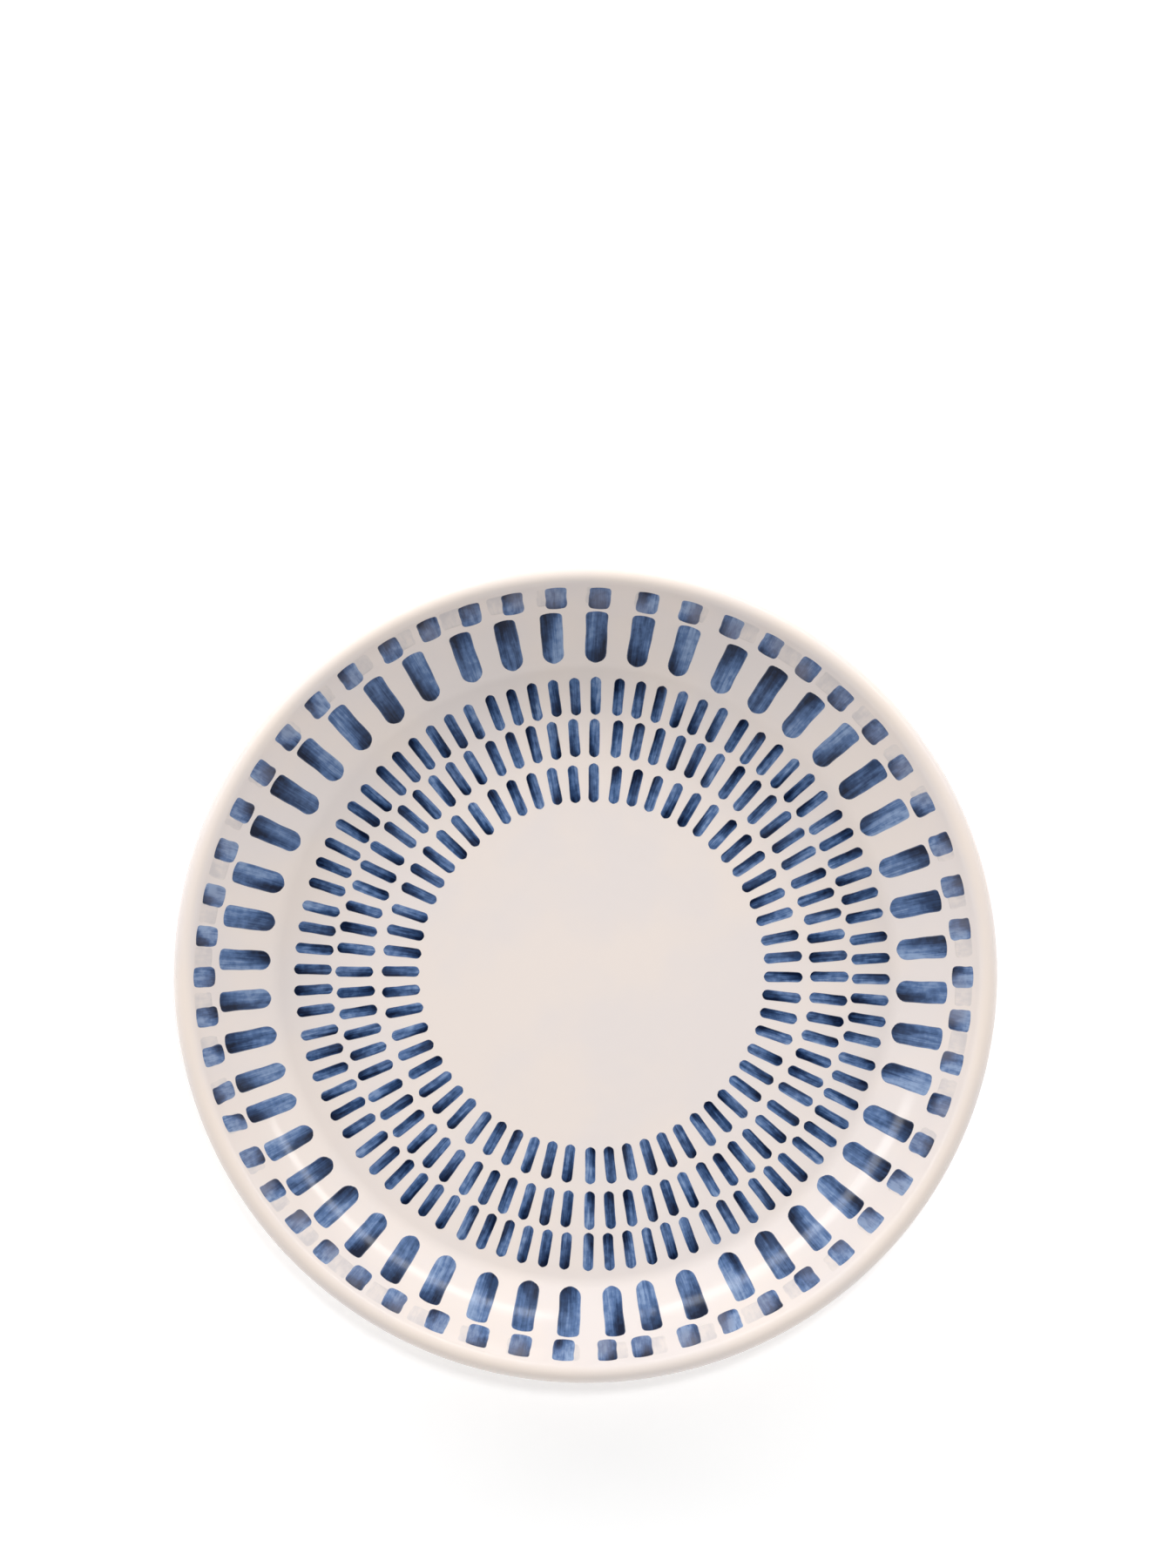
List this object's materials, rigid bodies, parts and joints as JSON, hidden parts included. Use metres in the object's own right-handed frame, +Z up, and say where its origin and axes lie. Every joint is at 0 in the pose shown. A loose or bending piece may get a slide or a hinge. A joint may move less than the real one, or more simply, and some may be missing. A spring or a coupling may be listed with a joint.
{
  "type": "ceramic plate",
  "caption": "Round glazed ceramic plate with a flat well, a concave wall, a rounded lip and a foot ring, painted with rings of brush strokes.",
  "frame": {"origin": "on the plate's axis, in the plane that the foot ring rests on", "axes": "+Z up along the plate's axis, out of the well; +Y towards the top of the painted pattern as it is seen face on"},
  "size_m": [0.28, 0.28, 0.035],
  "materials": {
    "fired_clay": "matte, bare fired clay",
    "cream_glaze": "glossy cream glaze",
    "blue_paint": "glossy brushed blue",
    "grey_wash": "glossy thin grey wash"
  },
  "bodies": {
    "root": {"clay_body": "fired_clay", "glaze_coat": "cream_glaze", "base_glaze": "cream_glaze", "inner_dashes": "blue_paint", "middle_dashes": "blue_paint", "outer_dashes": "blue_paint", "wall_strokes": "blue_paint", "rim_squares": "blue_paint", "rim_washes": "grey_wash"}
  },
  "joints": []
}
